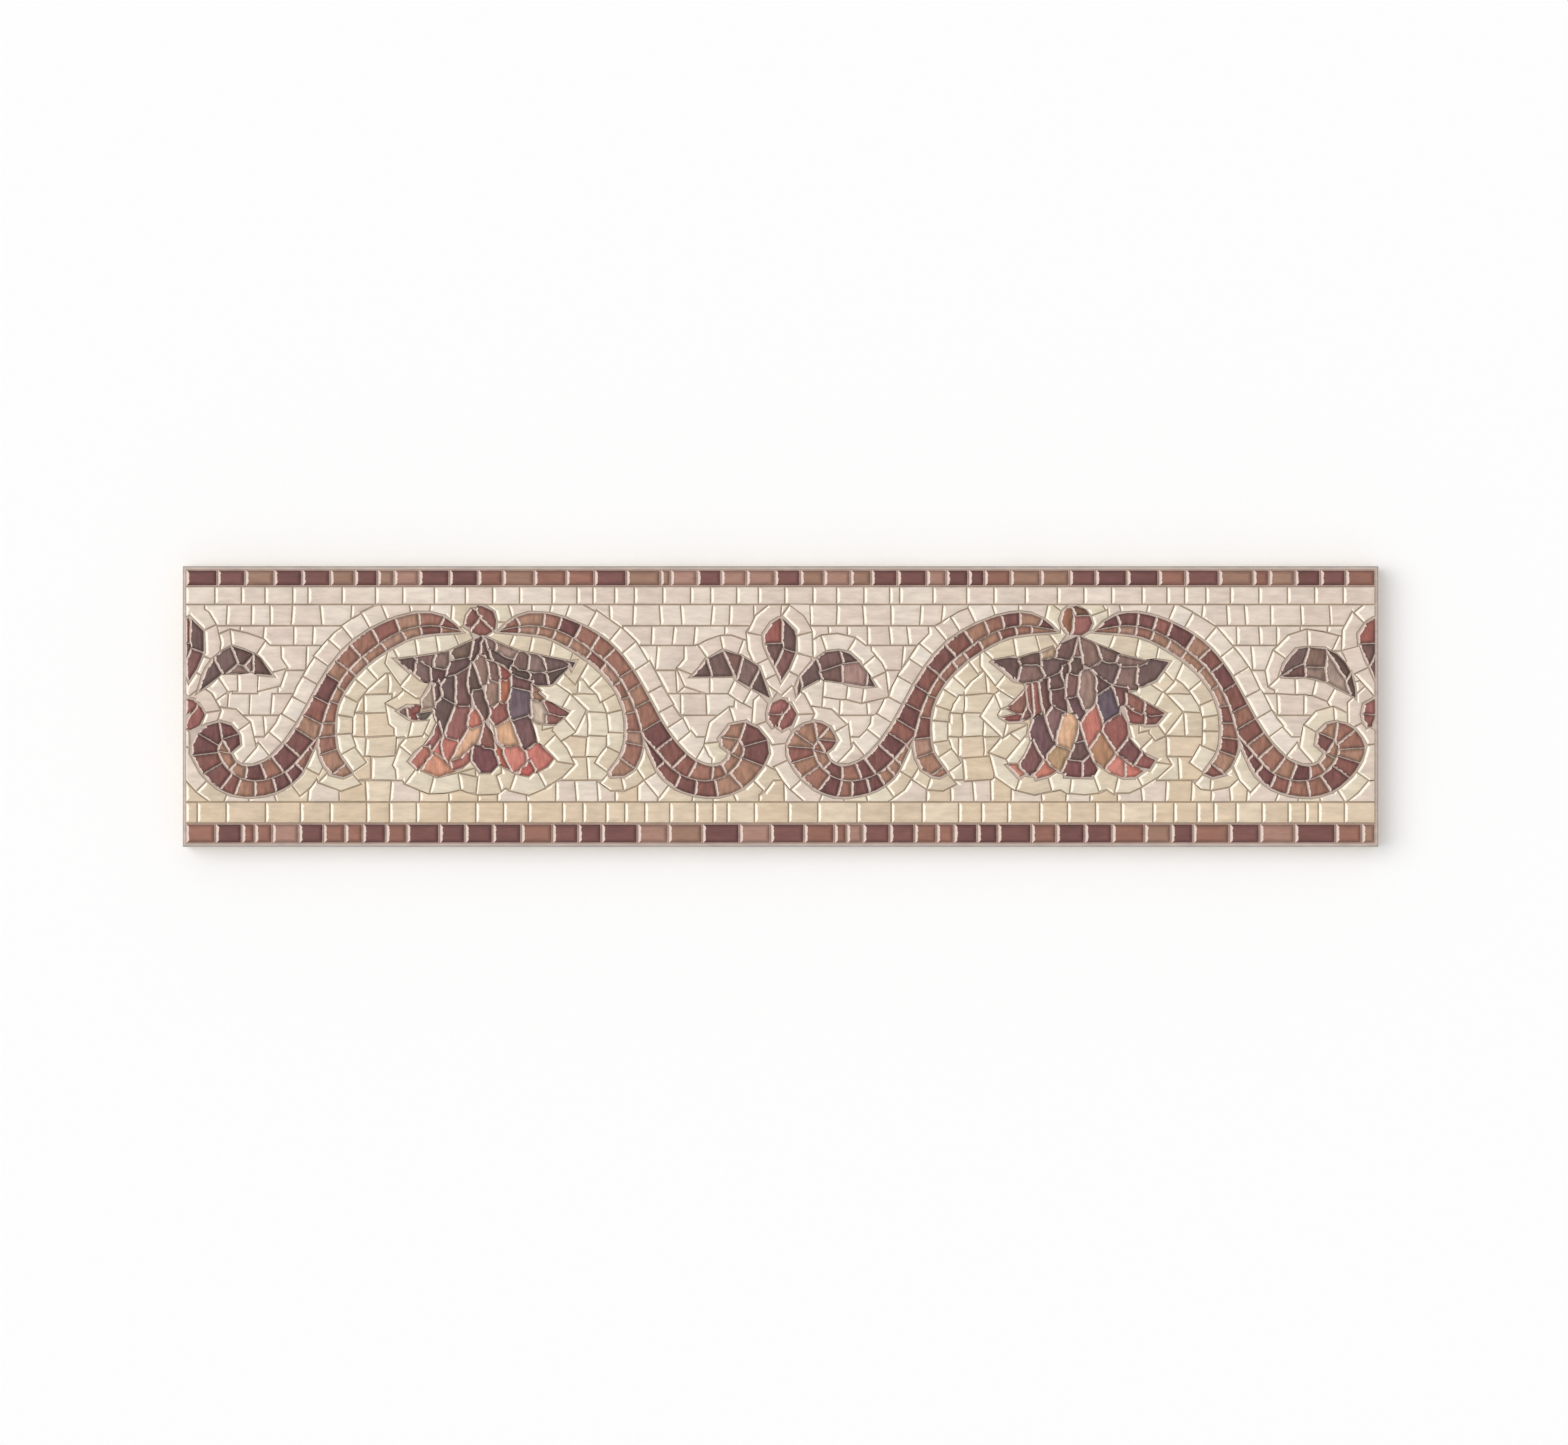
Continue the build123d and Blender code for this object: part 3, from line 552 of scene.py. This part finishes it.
def traced(cells):
    """The outlines of a group of cells, as point numbers.  They run with the cells on their left."""
    steps = [step for cell in cells for step in sides(cell)]
    known, onward, outlines = set(steps), {}, []
    for start, end in steps:
        if (end, start) not in known:
            onward.setdefault(start, []).append(end)
    while onward:
        before = next(iter(onward))
        outline, here = [before], onward[before].pop()
        while here != outline[0]:
            if here in outline:
                outlines.append(outline[outline.index(here):])
                outline = outline[:outline.index(here)]
            outline.append(here)
            run = points[here] - points[before]
            choice = min(onward[here], key=lambda end: run.angle_signed(points[end] - points[here]))
            onward[here].remove(choice)
            before, here = here, choice
        onward = {start: ends for start, ends in onward.items() if ends}
        outlines.append(outline)
    return outlines


layout = bmesh.new()
owner = layout.faces.layers.int.new("owner")
layout_points = [layout.verts.new((p.x, p.y, foot_level)) for p in points]
for tessera, own in shown.items():
    for outline in traced(own):
        if area_of([points[i] for i in outline]) > 0:
            layout.faces.new([layout_points[i] for i in outline])[owner] = tessera

# Scraps of cream are joined to the cream neighbour with which they make the roundest tessera
scrap_area, scrap_breadth = 6.0, 0.55
largest_joined_area = 36
least_roundness = 0.45


def in_course(cell):
    level = cell.calc_center_median().y
    return level > upper_field_edge or level < lower_field_edge


def roundness(area, girth):
    return 4 * math.pi * area / girth ** 2


def cream_beside(cell):
    """The cream cells beside a cell, on its side of the course's edge, with the length they share."""
    beside = {}
    for edge in cell.edges:
        for f in edge.link_faces:
            if f is not cell and kind_of(f[owner]) == "cream" and in_course(f) == in_course(cell):
                beside[f] = beside.get(f, 0.0) + edge.calc_length()
    return beside


for round_of_joining in range(3):
    layout.faces.index_update()
    for cell in sorted(layout.faces, key=lambda f: f.calc_area()):
        if not cell.is_valid or kind_of(cell[owner]) != "cream":
            continue
        area, girth = cell.calc_area(), cell.calc_perimeter()
        if area >= scrap_area and area / girth >= scrap_breadth:
            continue
        fits = [(roundness(area + f.calc_area(), girth + f.calc_perimeter() - 2 * shared), f.index, f)
                for f, shared in cream_beside(cell).items() if area + f.calc_area() < largest_joined_area]
        if not fits:
            continue
        fit, _, neighbour = max(fits, key=lambda choice: choice[:2])
        tessera = neighbour[owner]
        made = bmesh.utils.face_join([neighbour, cell]) if fit > least_roundness else None
        if made:
            made[owner] = tessera


def plain(outline, least):
    """The outline without the corners that add or cut off less than the least area."""
    points = [Vector(p) for p in outline]
    while len(points) > 3:
        corners = [abs((b - a).cross(c - b)) / 2 for a, b, c in with_neighbours(points)]
        if min(corners) > least:
            break
        del points[corners.index(min(corners))]
    return points


def crosses(a, b, c, d):
    """Whether the line from a to b cuts the one from c to d."""
    return (b - a).cross(c - a) * (b - a).cross(d - a) < 0 and (d - c).cross(a - c) * (d - c).cross(b - c) < 0


def sound(outline):
    """Whether the outline runs to the left, is more than a speck and doesn't cut itself."""
    edges = sides(outline)
    if area_of(outline) <= 0.05:
        return False
    return not any(crosses(*first, *second) for i, first in enumerate(edges) for second in edges[:i])


def hull_area(outline):
    return abs(area_of([outline[i] for i in convex_hull_2d(outline)]))


def parted(outline):
    """The outline, parted at the corner that turns in most, where it is too hollow for a tessera."""
    if area_of(outline) > 0.74 * hull_area(outline):
        return [outline]
    turns = [(b - a).normalized().cross((c - b).normalized()) for a, b, c in with_neighbours(outline)]
    corner = turns.index(min(turns))
    outline = outline[corner:] + outline[:corner]
    choices = []
    for other in range(2, len(outline) - 1):
        halves = outline[:other + 1], outline[other:] + outline[:1]
        blocked = any(crosses(outline[0], outline[other], *side) for side in sides(outline))
        if all(area_of(half) > 2.5 for half in halves) and not blocked:
            filled = sum(area_of(half) for half in halves) / sum(hull_area(half) for half in halves)
            choices.append((filled, halves))
    if not choices:
        return [outline]
    first, second = max(choices, key=lambda choice: choice[0])[1]
    return parted(first) + parted(second)


def shrunk(outline, amount):
    """The outline, which runs to the left, moved inwards.  Edges that would turn round are closed up."""
    count = len(outline)
    runs = [(end - start).normalized() for start, end in sides(outline)]
    starts = [p + amount * Vector((-run.y, run.x)) for p, run in zip(outline, runs)]
    live = list(range(count))
    while True:
        meets = {}
        for before, here in zip(live[-1:] + live[:-1], live):
            turn = runs[before].cross(runs[here])
            gap = starts[here] - starts[before]
            meets[here] = starts[here]
            if abs(turn) > 0.03:
                meets[here] = starts[before] + runs[before] * gap.cross(runs[here]) / turn
        lengths = {here: (meets[after] - meets[here]).dot(runs[here]) for here, after in sides(live)}
        shortest = min(lengths, key=lengths.get)
        if lengths[shortest] >= 0 or len(live) == 3:
            return [meets[min(live, key=lambda here: (here - i) % count)] for i in range(count)]
        live.remove(shortest)


# A corner is dropped where it adds less than the first of these areas that leaves room for the soft edge
corner_areas = {"cream": (0.4, 0.8), "course": (0.1, 0.2, 0.4), "brown": (0.1, 0.2, 0.4)}
least_areas = {"cream": 1.5, "course": 0.6, "brown": 0.6}
least_breadth = 0.25
soft_edge_room = 0.35
zones = ["side", "joint", "rim", "wall", "soft edge", "shoulder", "top", "bed", "rolled edge", "clay"]
face = bmesh.new()
source = face.faces.layers.int.new("source")
zone = face.faces.layers.int.new("zone")
for cell in layout.faces:
    kind = kind_of(cell[owner])
    choices = [plain([v.co.xy for v in cell.verts], least) for least in corner_areas[kind]]
    whole = next((choice for choice in choices if sound(shrunk(choice, soft_edge_room))), choices[0])
    for outline in parted(whole) if kind == "cream" else [whole]:
        area, girth = area_of(outline), sum((b - a).length for a, b in sides(outline))
        if sound(outline) and area > least_areas[kind] and area / girth > least_breadth:
            made = face.faces.new([face.verts.new((p.x, p.y, foot_level)) for p in outline])
            made[source] = cell[owner]
layout.free()
raised = bmesh.ops.extrude_face_region(face, geom=face.faces[:], use_keep_orig=True)["geom"]
raised_points = [g for g in raised if isinstance(g, bmesh.types.BMVert)]
bmesh.ops.translate(face, vec=(0.0, 0.0, joint_rise), verts=raised_points)
tops = [g for g in raised if isinstance(g, bmesh.types.BMFace)]
start_points = {f: [v.co.xy for v in f.verts] for f in tops}

# Rings of a block from its joint inwards: how far each one rises, and how wide it is for each kind
rings = {"joint": (0.0, {"cream": 0.15, "course": 0.12, "brown": 0.13}), "rim": (0.0, {"course": 0.16}),
         "wall": (0.3, {"cream": 0.1, "course": 0.08, "brown": 0.08}),
         "soft edge": (0.1, {"cream": 0.5, "course": 0.45, "brown": 0.4}),
         "shoulder": (0.04, {"cream": 0.4, "course": 0.5, "brown": 0.4})}
inset_start = 0.001
narrowest_ring = 0.01
depths = {f: 0.0 for f in tops}
for name, (rise, widths) in rings.items():
    group = [f for f in tops if kind_of(f[source]) in widths]
    for f in bmesh.ops.inset_individual(face, faces=group, thickness=inset_start, depth=rise)["faces"]:
        f[zone] = zones.index(name)
    for f in group:
        width = min(widths[kind_of(f[source])], 0.8 * f.calc_area() / f.calc_perimeter())
        inner = shrunk(start_points[f], depths[f] + width)
        while not sound(inner) and width > narrowest_ring:
            width /= 2
            inner = shrunk(start_points[f], depths[f] + width)
        if sound(inner):
            depths[f] += width
            for v, p in zip(f.verts, inner):
                v.co.x, v.co.y = p
for f in tops:
    f[zone] = zones.index("top")
bmesh.ops.dissolve_degenerate(face, edges=face.edges, dist=0.002)

# Body: one slab of fired clay under the face, pressed with a rolled upper edge and broken back edges.
# Four long grooves in its back hold the adhesive, and the glaze covers its face and its rolled edge.
tile_length, tile_width = 298.0, 70.0
edge_roll, back_arris = 0.6, 0.5
groove_length, groove_width, groove_depth = 280.0, 8.0, 0.8
groove_taper, groove_corner = 0.6, 3.4
groove_levels = [-21.0, -7.0, 7.0, 21.0]
slab = bmesh.new()
bmesh.ops.create_cube(slab, size=1.0)
bmesh.ops.scale(slab, vec=(tile_length, tile_width, bed_level), verts=slab.verts)
bmesh.ops.translate(slab, vec=(0.0, 0.0, bed_level / 2), verts=slab.verts)
for level, offset, segments in ((bed_level, edge_roll, 4), (0.0, back_arris, 1)):
    edges = [e for e in slab.edges if all(abs(v.co.z - level) < 0.01 for v in e.verts)]
    bmesh.ops.bevel(slab, geom=edges, offset=offset, segments=segments, profile=0.5,
                    affect="EDGES", material=-1)
body_mesh = bpy.data.meshes.new("glazed_tile")
slab.to_mesh(body_mesh)
slab.free()
tile = bpy.data.objects.new("glazed_tile", body_mesh)
bpy.context.scene.collection.objects.link(tile)
grooves = bmesh.new()
for level in groove_levels:
    groove = bmesh.ops.create_cube(grooves, size=1.0)["verts"]
    bmesh.ops.scale(grooves, vec=(groove_length, groove_width, 2 * groove_depth), verts=groove)
    taper = [(size - groove_taper) / size for size in (groove_length, groove_width)] + [1.0]
    bmesh.ops.scale(grooves, vec=taper, verts=[v for v in groove if v.co.z > 0])
    bmesh.ops.translate(grooves, vec=(0.0, level, 0.0), verts=groove)
upright_edges = [e for e in grooves.edges if abs(e.verts[0].co.z - e.verts[1].co.z) > groove_depth]
bmesh.ops.bevel(grooves, geom=upright_edges, offset=groove_corner, segments=6, profile=0.5,
                affect="EDGES", material=-1)
groove_mesh = bpy.data.meshes.new("grooves")
grooves.to_mesh(groove_mesh)
grooves.free()
groove_cutter = bpy.data.objects.new("grooves", groove_mesh)
bpy.context.scene.collection.objects.link(groove_cutter)
cut = tile.modifiers.new("grooves", "BOOLEAN")
cut.operation, cut.solver, cut.object = "DIFFERENCE", "EXACT", groove_cutter
grooved = bpy.data.meshes.new_from_object(tile.evaluated_get(bpy.context.evaluated_depsgraph_get()))
tile.modifiers.clear()
bpy.data.objects.remove(groove_cutter)
pressed = set(face.faces)
face.from_mesh(grooved)
rolled_above = bed_level - edge_roll - 0.01
for f in set(face.faces) - pressed:
    f.normal_update()
    rolled = f.calc_center_median().z > rolled_above
    f[zone] = zones.index("bed" if f.normal.z > 0.95 else "rolled edge" if rolled else "clay")
    f[source] = 0
bmesh.ops.recalc_face_normals(face, faces=face.faces)


def linear(hex_colour):
    """An sRGB hex colour as linear numbers."""
    parts = [int(hex_colour[i:i + 2], 16) / 255 for i in (0, 2, 4)]
    return [p / 12.92 if p <= 0.04045 else ((p + 0.055) / 1.055) ** 2.4 for p in parts]


# Painted shade darkens the glaze down the edges of a brown block and painted light brightens its top, and a
# painted
# highlight, a ragged light strip, follows the left edge of every block, on its sides that face the lamp. For
# each ring:
# the level that parts its outer from its inner corners, then the painted shade and light and the painted
# highlight's strength at the outer and at the inner ones.
ring_painted_light = {"wall": (7.6, (0.6, 0.6), (1.0, 1.0)), "soft edge": (7.85, (0.6, 0.82), (1.0, 0.55)),
              "shoulder": (7.95, (0.82, 1.1), (0.55, 0.0)), "top": (0.0, (1.1, 1.1), (0.0, 0.0))}
no_painted_light = (0.0, (1.0, 1.0), (0.0, 0.0))
joint_glazes = {"cream": "A4937F", "course": "9A7D71", "brown": "C5B4A8"}
zone_glazes = {"rim": "D6BEB2", "bed": "C5B4A8", "rolled edge": "AAA09B", "clay": "D9C4AC"}
# The painted highlight: its colour and its strength on each kind of block
painted_highlight_glazes = {"cream": "FFF6E4", "course": "E6CFC3", "brown": "E6CFC3", "bed": "E6CFC3"}
painted_highlight_strengths = {"cream": 1.0, "course": 1.0, "brown": 0.75, "bed": 0.75}
tint = face.loops.layers.float_color.new("tint")
glint = face.loops.layers.float_color.new("glint")
for f in face.faces:
    kind, glaze = tesserae[f[source]]
    spot = zones[f[zone]]
    painted_highlight, facing = linear(painted_highlight_glazes[kind]), 0.0
    if spot in ("side", "joint"):
        glaze = joint_glazes[kind]
    elif spot in ("wall", "soft edge", "shoulder"):
        # The painted highlight goes on the rings that face left, towards the lamp
        facing = min(1.0, max(0.0, (-f.normal.xy.normalized().x - 0.3) / 0.4))
    glaze = linear(zone_glazes.get(spot, glaze))
    parting_level, tones, highlight_reaches = ring_painted_light.get(spot, no_painted_light)
    for loop in f.loops:
        inner = 0 if loop.vert.co.z < parting_level else 1
        # Painted shade darkens a brown block's edges, and painted light brightens its top
        tone = 1.0 if kind == "cream" else tones[inner]
        loop[tint] = [c * tone for c in glaze] + [0.0 if kind == "brown" else 1.0]
        loop[glint] = painted_highlight + [facing * highlight_reaches[inner] * painted_highlight_strengths[kind]]
    f.material_index = 1 if spot == "clay" else 0
bmesh.ops.scale(face, vec=(0.001, 0.001, 0.001), verts=face.verts)
face.to_mesh(body_mesh)
face.free()
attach(tile, "root")
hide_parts("border_tile")


def node(tree, kind, links=(), **settings):
    """Add a node, set its properties and inputs, and link its inputs."""
    made = tree.nodes.new(kind)
    for name, value in settings.items():
        if hasattr(made, name):
            setattr(made, name, value)
        else:
            made.inputs[name.replace("_", " ")].default_value = value
    for socket, output in links:
        tree.links.new(output, made.inputs[socket])
    return made


# Mosaic glaze: a coloured glaze, fired to a soft gloss and a slightly wavy skin.  It gives a block streaks in
# its own colour, strong and upright inside the motifs, and faint and lengthwise in the courses and the field.
# The sizes of the marks are in millimetres and matched, and a scale is their number in a metre.
metre = 1000.0
lengthwise_grain, upright_streak, ragged_edge, skin_wave = 1.43, 1.11, 0.77, 2.86
noise_middle = {"From_Min": 0.3, "From_Max": 0.7}
glaze_material = bpy.data.materials.new("mosaic_glaze")
glaze_material.use_nodes = True
tree = glaze_material.node_tree
shader = tree.nodes["Principled BSDF"]
shader.inputs["Specular IOR Level"].default_value = 0.3
coords = node(tree, "ShaderNodeTexCoord").outputs["Object"]
colour = node(tree, "ShaderNodeVertexColor", layer_name="tint")
shine = node(tree, "ShaderNodeVertexColor", layer_name="glint")
lengthwise = node(tree, "ShaderNodeMapping", [("Vector", coords)], Scale=(0.3, 1.0, 1.0))
crosswise = node(tree, "ShaderNodeMapping", [("Vector", coords)], Scale=(1.0, 0.3, 1.0))
fine = node(tree, "ShaderNodeTexNoise", [("Vector", lengthwise.outputs["Vector"])],
            Scale=metre / lengthwise_grain, Detail=4.0, Roughness=0.6)
streaks = node(tree, "ShaderNodeTexNoise", [("Vector", crosswise.outputs["Vector"])],
               Scale=metre / upright_streak, Detail=4.0, Roughness=0.65)
even = node(tree, "ShaderNodeMapRange", [("Value", fine.outputs["Fac"])],
            To_Min=0.86, To_Max=1.12, **noise_middle)
strong = node(tree, "ShaderNodeMapRange", [("Value", streaks.outputs["Fac"])],
              To_Min=0.7, To_Max=1.3, **noise_middle)
shade = node(tree, "ShaderNodeMix", [("Factor", colour.outputs["Alpha"]), ("A", strong.outputs["Result"]),
                                     ("B", even.outputs["Result"])])
toned = node(tree, "ShaderNodeVectorMath", [(0, colour.outputs["Color"]), (1, shade.outputs["Result"])],
             operation="MULTIPLY")
# Painted highlight: the glint colour is laid over the glaze in a ragged strip where the glint attribute marks
# a left-facing edge
ragged = node(tree, "ShaderNodeTexNoise", [("Vector", coords)], Scale=metre / ragged_edge, Detail=3.0)
broken = node(tree, "ShaderNodeMath", [(0, ragged.outputs["Fac"]), (2, shine.outputs["Alpha"])],
              operation="MULTIPLY_ADD")
broken.inputs[1].default_value = 0.7
painted_highlight = node(tree, "ShaderNodeMapRange", [("Value", broken.outputs["Value"])], From_Min=0.75, From_Max=0.95)
mix = node(tree, "ShaderNodeMix", [("Factor", painted_highlight.outputs["Result"]), (6, toned.outputs["Vector"]),
                                   (7, shine.outputs["Color"])], data_type="RGBA")
tree.links.new(mix.outputs[2], shader.inputs["Base Color"])
waves = node(tree, "ShaderNodeTexNoise", [("Vector", coords)], Scale=metre / skin_wave, Detail=3.0)
gloss = node(tree, "ShaderNodeMapRange", [("Value", waves.outputs["Fac"])],
             To_Min=0.28, To_Max=0.46, **noise_middle)
tree.links.new(gloss.outputs["Result"], shader.inputs["Roughness"])
relief = node(tree, "ShaderNodeMath", [(0, waves.outputs["Fac"]), (1, shade.outputs["Result"])],
              operation="ADD")
bumps = node(tree, "ShaderNodeBump", [("Height", relief.outputs["Value"])], Strength=0.35, Distance=0.0001)
tree.links.new(bumps.outputs["Normal"], shader.inputs["Normal"])
body_mesh.materials.append(glaze_material)

# Fired clay: pressed from damp powder and left bare on the sides and the back.  It gives a dry, pale buff
# surface with broad warm clouds and a speckle of grit.  The grit of such clay is finer than this, and is
# drawn as coarse as it needs to show.
clay_cloud, clay_speck = 22.2, 0.714
clay_material = bpy.data.materials.new("fired_clay")
clay_material.use_nodes = True
tree = clay_material.node_tree
shader = tree.nodes["Principled BSDF"]
shader.inputs["Specular IOR Level"].default_value = 0.2
coords = node(tree, "ShaderNodeTexCoord").outputs["Object"]
clouds = node(tree, "ShaderNodeTexNoise", [("Vector", coords)],
              Scale=metre / clay_cloud, Detail=4.0, Roughness=0.6)
specks = node(tree, "ShaderNodeTexNoise", [("Vector", coords)],
              Scale=metre / clay_speck, Detail=3.0, Roughness=0.7)
warmth = node(tree, "ShaderNodeValToRGB", [("Fac", clouds.outputs["Fac"])])
for stop, position, shade_of_clay in zip(warmth.color_ramp.elements, (0.3, 0.7), ("CDB69C", "DECBB5")):
    stop.position = position
    stop.color = linear(shade_of_clay) + [1.0]
speckle = node(tree, "ShaderNodeMapRange", [("Value", specks.outputs["Fac"])],
               To_Min=0.82, To_Max=1.08, **noise_middle)
toned = node(tree, "ShaderNodeVectorMath", [(0, warmth.outputs["Color"]), (1, speckle.outputs["Result"])],
             operation="MULTIPLY")
tree.links.new(toned.outputs["Vector"], shader.inputs["Base Color"])
dryness = node(tree, "ShaderNodeMapRange", [("Value", clouds.outputs["Fac"])],
               To_Min=0.78, To_Max=0.92, **noise_middle)
tree.links.new(dryness.outputs["Result"], shader.inputs["Roughness"])
bumps = node(tree, "ShaderNodeBump", [("Height", specks.outputs["Fac"])], Strength=0.5, Distance=0.0001)
tree.links.new(bumps.outputs["Normal"], shader.inputs["Normal"])
body_mesh.materials.append(clay_material)

# Studio: a flat floor just under the tile, in matt white paint, which gives a pale ground with a soft shadow.
# A broad soft light comes from the left over an even white surround, and the camera hangs straight above.
floor_half_width, floor_level = 3.0, -0.0001
floor_mesh = bpy.data.meshes.new("floor")
floor_shape = bmesh.new()
bmesh.ops.create_grid(floor_shape, x_segments=1, y_segments=1, size=floor_half_width)
floor_shape.to_mesh(floor_mesh)
floor_shape.free()
floor = bpy.data.objects.new("floor", floor_mesh)
floor.location.z = floor_level
bpy.context.scene.collection.objects.link(floor)
floor_material = bpy.data.materials.new("floor_paint")
floor_material.use_nodes = True
paint = floor_material.node_tree.nodes["Principled BSDF"]
paint.inputs["Base Color"].default_value = linear("FDFDFD") + [1.0]
paint.inputs["Roughness"].default_value = 0.9
floor_mesh.materials.append(floor_material)

world = bpy.data.worlds.new("studio")
bpy.context.scene.world = world
world.use_nodes = True
surround = world.node_tree.nodes["Background"]
surround.inputs["Color"].default_value = linear("FFFFFF") + [1.0]
surround.inputs["Strength"].default_value = 0.68

key = bpy.data.lights.new("key", "SUN")
key.energy = 1.3
key.angle = math.radians(50)
key_object = bpy.data.objects.new("key", key)
key_object.rotation_euler = (0.0, math.radians(-38), math.radians(-15))
bpy.context.scene.collection.objects.link(key_object)

picture_x, picture_y, picture_width = 0.00087, -0.00399, 0.39056
camera = bpy.data.cameras.new("camera")
camera.lens, camera.sensor_width = 135.0, 36.0
camera.clip_end = 20.0
camera_height = face_level * 0.001 + picture_width * camera.lens / camera.sensor_width
camera_object = bpy.data.objects.new("camera", camera)
camera_object.location = (picture_x, picture_y, camera_height)
bpy.context.scene.collection.objects.link(camera_object)
bpy.context.scene.camera = camera_object
bpy.context.scene.view_settings.view_transform = "Standard"
